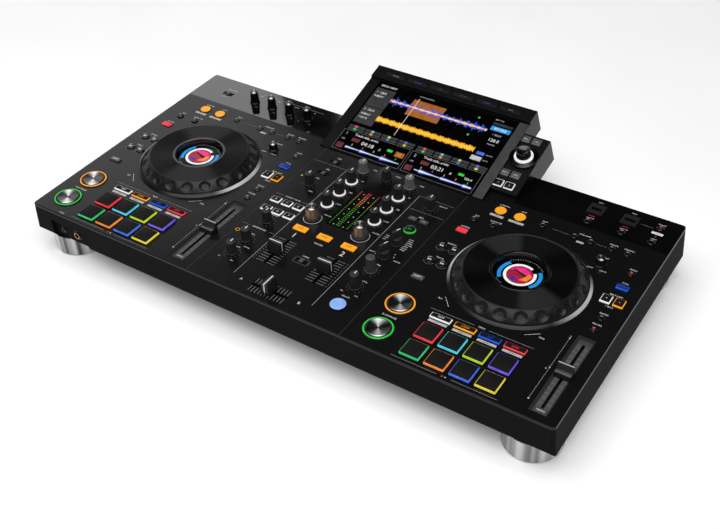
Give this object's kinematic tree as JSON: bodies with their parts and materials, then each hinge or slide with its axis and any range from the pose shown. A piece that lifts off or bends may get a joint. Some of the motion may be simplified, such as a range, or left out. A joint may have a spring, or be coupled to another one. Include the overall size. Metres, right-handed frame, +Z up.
{
  "type": "all-in-one dj system",
  "caption": "Desktop music console with jog wheels, pads, faders and knobs around a mixer, and a tilted display at the back; every control moves.",
  "frame": {"origin": "on the table, below the middle of the overall box", "axes": "+Z up, +X to the player's right, the player stands at -Y and the display is at +Y"},
  "size_m": [0.7282, 0.4696, 0.1183],
  "materials": {
    "case_black": "fine textured black moulding",
    "panel_black": "matt black panel with white print",
    "gloss_black": "polished black",
    "screen_glass": "clear cover glass",
    "screen_black": "lit colour display",
    "board_green": "solder mask",
    "supply_metal": "folded sheet case",
    "foot_silver": "turned and brushed",
    "pad_rubber": "matt rubber",
    "screw_steel": "blackened",
    "socket_black": "matt black",
    "jog_black": "satin black with a bright metallic rim",
    "knob_chrome": "black grip with a chromed cap",
    "knob_grey": "soft grey grip",
    "knob_black": "soft black grip",
    "cap_black": "matt black with a white line",
    "pad_rubbery": "soft black pad with lit edges",
    "transport_metal": "spun metal disc in a lit ring",
    "key_plastic": "lit key"
  },
  "bodies": {
    "console": {"lower_case": "case_black", "top_panel": "panel_black", "rear_strips": "gloss_black", "rear_panel": "panel_black", "display_housing": "case_black", "display_rear_cover": "case_black", "display_glass": "screen_glass", "display_panel": "screen_black", "circuit_board": "board_green", "power_supply": "supply_metal", "jog_bases": "gloss_black", "jog_displays": "screen_black", "feet": "foot_silver", "foot_pads": "pad_rubber", "case_screws": "screw_steel", "sockets": "socket_black"},
    "left_jog_wheel": {"left_jog_wheel": "jog_black"},
    "right_jog_wheel": {"right_jog_wheel": "jog_black"},
    "master_level_knob": {"master_level_knob": "knob_grey"},
    "mic_level_knob": {"mic_level_knob": "knob_black"},
    "colour_amount_knob": {"colour_amount_knob": "knob_black"},
    "phones_mix_knob": {"phones_mix_knob": "knob_black"},
    "phones_level_knob": {"phones_level_knob": "knob_black"},
    "booth_level_knob": {"booth_level_knob": "knob_grey"},
    "effect_selector": {"effect_selector": "knob_black"},
    "effect_channel_selector": {"effect_channel_selector": "knob_black"},
    "effect_time_knob": {"effect_time_knob": "knob_grey"},
    "effect_depth_knob": {"effect_depth_knob": "knob_black"},
    "channel_1_trim_knob": {"channel_1_trim_knob": "knob_grey"},
    "channel_1_high_knob": {"channel_1_high_knob": "knob_black"},
    "channel_1_mid_knob": {"channel_1_mid_knob": "knob_black"},
    "channel_1_low_knob": {"channel_1_low_knob": "knob_black"},
    "channel_1_colour_knob": {"channel_1_colour_knob": "knob_chrome"},
    "channel_2_trim_knob": {"channel_2_trim_knob": "knob_grey"},
    "channel_2_high_knob": {"channel_2_high_knob": "knob_black"},
    "channel_2_mid_knob": {"channel_2_mid_knob": "knob_black"},
    "channel_2_low_knob": {"channel_2_low_knob": "knob_black"},
    "channel_2_colour_knob": {"channel_2_colour_knob": "knob_chrome"},
    "mic_1_level_knob": {"mic_1_level_knob": "knob_black"},
    "mic_2_level_knob": {"mic_2_level_knob": "knob_black"},
    "mic_low_knob": {"mic_low_knob": "knob_black"},
    "mic_high_knob": {"mic_high_knob": "knob_black"},
    "left_jog_feel_knob": {"left_jog_feel_knob": "knob_chrome"},
    "right_jog_feel_knob": {"right_jog_feel_knob": "knob_chrome"},
    "display_selector_knob": {"display_selector_knob": "knob_chrome"},
    "channel_1_fader": {"channel_1_fader": "cap_black"},
    "channel_2_fader": {"channel_2_fader": "cap_black"},
    "crossfader": {"crossfader": "cap_black"},
    "left_tempo_fader": {"left_tempo_fader": "cap_black"},
    "right_tempo_fader": {"right_tempo_fader": "cap_black"},
    "left_transport_buttons": {"left_transport_buttons": "transport_metal"},
    "left_pads": {"left_pads": "pad_rubbery"},
    "left_deck_keys": {"left_deck_keys": "key_plastic"},
    "right_transport_buttons": {"right_transport_buttons": "transport_metal"},
    "right_pads": {"right_pads": "pad_rubbery"},
    "right_deck_keys": {"right_deck_keys": "key_plastic"},
    "mixer_keys": {"mixer_keys": "key_plastic"},
    "display_keys": {"display_keys": "key_plastic"},
    "slide_switches": {"slide_switches": "socket_black"},
    "power_switch": {"power_switch": "socket_black"}
  },
  "joints": [
    {"name": "left_jog_wheel_turn", "type": "hinge", "parent": "console", "child": "left_jog_wheel", "pos_m": [-0.234, -0.0543, 0.0782], "axis": [0, 0, 1], "continuous": true},
    {"name": "right_jog_wheel_turn", "type": "hinge", "parent": "console", "child": "right_jog_wheel", "pos_m": [0.2332, -0.0543, 0.0782], "axis": [0, 0, 1], "continuous": true},
    {"name": "master_level_knob_turn", "type": "hinge", "parent": "console", "child": "master_level_knob", "pos_m": [0.0005, 0.0355, 0.0782], "axis": [0, 0, -1], "range_deg": [-150, 150]},
    {"name": "mic_level_knob_turn", "type": "hinge", "parent": "console", "child": "mic_level_knob", "pos_m": [-0.0797, -0.0219, 0.0782], "axis": [0, 0, -1], "range_deg": [-150, 150]},
    {"name": "colour_amount_knob_turn", "type": "hinge", "parent": "console", "child": "colour_amount_knob", "pos_m": [-0.0797, -0.1122, 0.0782], "axis": [0, 0, -1], "range_deg": [-150, 150]},
    {"name": "phones_mix_knob_turn", "type": "hinge", "parent": "console", "child": "phones_mix_knob", "pos_m": [-0.0797, -0.1541, 0.0782], "axis": [0, 0, -1], "range_deg": [-150, 150]},
    {"name": "phones_level_knob_turn", "type": "hinge", "parent": "console", "child": "phones_level_knob", "pos_m": [-0.0797, -0.182, 0.0782], "axis": [0, 0, -1], "range_deg": [-150, 150]},
    {"name": "booth_level_knob_turn", "type": "hinge", "parent": "console", "child": "booth_level_knob", "pos_m": [0.0797, 0.0112, 0.0782], "axis": [0, 0, -1], "range_deg": [-150, 150]},
    {"name": "effect_selector_turn", "type": "hinge", "parent": "console", "child": "effect_selector", "pos_m": [0.0797, -0.06905, 0.0782], "axis": [0, 0, -1], "range_deg": [-150, 150]},
    {"name": "effect_channel_selector_turn", "type": "hinge", "parent": "console", "child": "effect_channel_selector", "pos_m": [0.0797, -0.09725, 0.0782], "axis": [0, 0, -1], "range_deg": [-150, 150]},
    {"name": "effect_time_knob_turn", "type": "hinge", "parent": "console", "child": "effect_time_knob", "pos_m": [0.0797, -0.12605, 0.0782], "axis": [0, 0, -1], "range_deg": [-150, 150]},
    {"name": "effect_depth_knob_turn", "type": "hinge", "parent": "console", "child": "effect_depth_knob", "pos_m": [0.0797, -0.15945, 0.0782], "axis": [0, 0, -1], "range_deg": [-150, 150]},
    {"name": "channel_1_trim_knob_turn", "type": "hinge", "parent": "console", "child": "channel_1_trim_knob", "pos_m": [-0.0349, 0.0355, 0.0782], "axis": [0, 0, -1], "range_deg": [-150, 150]},
    {"name": "channel_1_high_knob_turn", "type": "hinge", "parent": "console", "child": "channel_1_high_knob", "pos_m": [-0.0349, 0.0078, 0.0782], "axis": [0, 0, -1], "range_deg": [-150, 150]},
    {"name": "channel_1_mid_knob_turn", "type": "hinge", "parent": "console", "child": "channel_1_mid_knob", "pos_m": [-0.0349, -0.01995, 0.0782], "axis": [0, 0, -1], "range_deg": [-150, 150]},
    {"name": "channel_1_low_knob_turn", "type": "hinge", "parent": "console", "child": "channel_1_low_knob", "pos_m": [-0.0349, -0.0477, 0.0782], "axis": [0, 0, -1], "range_deg": [-150, 150]},
    {"name": "channel_1_colour_knob_turn", "type": "hinge", "parent": "console", "child": "channel_1_colour_knob", "pos_m": [-0.0349, -0.0794, 0.0782], "axis": [0, 0, -1], "range_deg": [-150, 150]},
    {"name": "channel_2_trim_knob_turn", "type": "hinge", "parent": "console", "child": "channel_2_trim_knob", "pos_m": [0.0349, 0.0355, 0.0782], "axis": [0, 0, -1], "range_deg": [-150, 150]},
    {"name": "channel_2_high_knob_turn", "type": "hinge", "parent": "console", "child": "channel_2_high_knob", "pos_m": [0.0349, 0.0078, 0.0782], "axis": [0, 0, -1], "range_deg": [-150, 150]},
    {"name": "channel_2_mid_knob_turn", "type": "hinge", "parent": "console", "child": "channel_2_mid_knob", "pos_m": [0.0349, -0.01995, 0.0782], "axis": [0, 0, -1], "range_deg": [-150, 150]},
    {"name": "channel_2_low_knob_turn", "type": "hinge", "parent": "console", "child": "channel_2_low_knob", "pos_m": [0.0349, -0.0477, 0.0782], "axis": [0, 0, -1], "range_deg": [-150, 150]},
    {"name": "channel_2_colour_knob_turn", "type": "hinge", "parent": "console", "child": "channel_2_colour_knob", "pos_m": [0.0349, -0.0794, 0.0782], "axis": [0, 0, -1], "range_deg": [-150, 150]},
    {"name": "mic_1_level_knob_turn", "type": "hinge", "parent": "console", "child": "mic_1_level_knob", "pos_m": [-0.2614, 0.1008, 0.0782], "axis": [0, 0, -1], "range_deg": [-150, 150]},
    {"name": "mic_2_level_knob_turn", "type": "hinge", "parent": "console", "child": "mic_2_level_knob", "pos_m": [-0.2309, 0.1008, 0.0782], "axis": [0, 0, -1], "range_deg": [-150, 150]},
    {"name": "mic_low_knob_turn", "type": "hinge", "parent": "console", "child": "mic_low_knob", "pos_m": [-0.2004, 0.1008, 0.0782], "axis": [0, 0, -1], "range_deg": [-150, 150]},
    {"name": "mic_high_knob_turn", "type": "hinge", "parent": "console", "child": "mic_high_knob", "pos_m": [-0.1699, 0.1008, 0.0782], "axis": [0, 0, -1], "range_deg": [-150, 150]},
    {"name": "left_jog_feel_knob_turn", "type": "hinge", "parent": "console", "child": "left_jog_feel_knob", "pos_m": [-0.1677, 0.0187, 0.0782], "axis": [0, 0, -1], "range_deg": [-150, 150]},
    {"name": "right_jog_feel_knob_turn", "type": "hinge", "parent": "console", "child": "right_jog_feel_knob", "pos_m": [0.2995, 0.0187, 0.0782], "axis": [0, 0, -1], "range_deg": [-150, 150]},
    {"name": "display_selector_knob_turn", "type": "hinge", "parent": "console", "child": "display_selector_knob", "pos_m": [0.1431, 0.1373, 0.09218], "axis": [0, -0.2773, 0.9608], "continuous": true},
    {"name": "channel_1_fader_slide", "type": "slide", "parent": "console", "child": "channel_1_fader", "axis": [0, 1, 0], "range_m": [-0.0224, 0.0224]},
    {"name": "channel_2_fader_slide", "type": "slide", "parent": "console", "child": "channel_2_fader", "axis": [0, 1, 0], "range_m": [-0.0224, 0.0224]},
    {"name": "crossfader_slide", "type": "slide", "parent": "console", "child": "crossfader", "axis": [1, 0, 0], "range_m": [-0.0224, 0.0224]},
    {"name": "left_tempo_fader_slide", "type": "slide", "parent": "console", "child": "left_tempo_fader", "axis": [0, -1, 0], "range_m": [-0.04865, 0.04865]},
    {"name": "right_tempo_fader_slide", "type": "slide", "parent": "console", "child": "right_tempo_fader", "axis": [0, -1, 0], "range_m": [-0.04865, 0.04865]},
    {"name": "left_transport_buttons_slide", "type": "slide", "parent": "console", "child": "left_transport_buttons", "axis": [0, 0, -1], "range_m": [0, 0.0008], "stiffness_N_per_m": 600, "springref_m": -0.0015},
    {"name": "left_pads_slide", "type": "slide", "parent": "console", "child": "left_pads", "axis": [0, 0, -1], "range_m": [0, 0.0008], "stiffness_N_per_m": 800, "springref_m": -0.0015},
    {"name": "left_deck_keys_slide", "type": "slide", "parent": "console", "child": "left_deck_keys", "axis": [0, 0, -1], "range_m": [0, 0.0006], "stiffness_N_per_m": 600, "springref_m": -0.0015},
    {"name": "right_transport_buttons_slide", "type": "slide", "parent": "console", "child": "right_transport_buttons", "axis": [0, 0, -1], "range_m": [0, 0.0008], "stiffness_N_per_m": 600, "springref_m": -0.0015},
    {"name": "right_pads_slide", "type": "slide", "parent": "console", "child": "right_pads", "axis": [0, 0, -1], "range_m": [0, 0.0008], "stiffness_N_per_m": 800, "springref_m": -0.0015},
    {"name": "right_deck_keys_slide", "type": "slide", "parent": "console", "child": "right_deck_keys", "axis": [0, 0, -1], "range_m": [0, 0.0006], "stiffness_N_per_m": 600, "springref_m": -0.0015},
    {"name": "mixer_keys_slide", "type": "slide", "parent": "console", "child": "mixer_keys", "axis": [0, 0, -1], "range_m": [0, 0.0006], "stiffness_N_per_m": 600, "springref_m": -0.0015},
    {"name": "display_keys_slide", "type": "slide", "parent": "console", "child": "display_keys", "axis": [0, 0.2773, -0.9608], "range_m": [0, 0.0005], "stiffness_N_per_m": 600, "springref_m": -0.0015},
    {"name": "slide_switches_slide", "type": "slide", "parent": "console", "child": "slide_switches", "axis": [1, 0, 0], "range_m": [-0.0035, 0.0035]},
    {"name": "power_switch_turn", "type": "hinge", "parent": "console", "child": "power_switch", "pos_m": [0.318, 0.13445, 0.0465], "axis": [1, 0, 0], "range_deg": [-8, 8]}
  ]
}
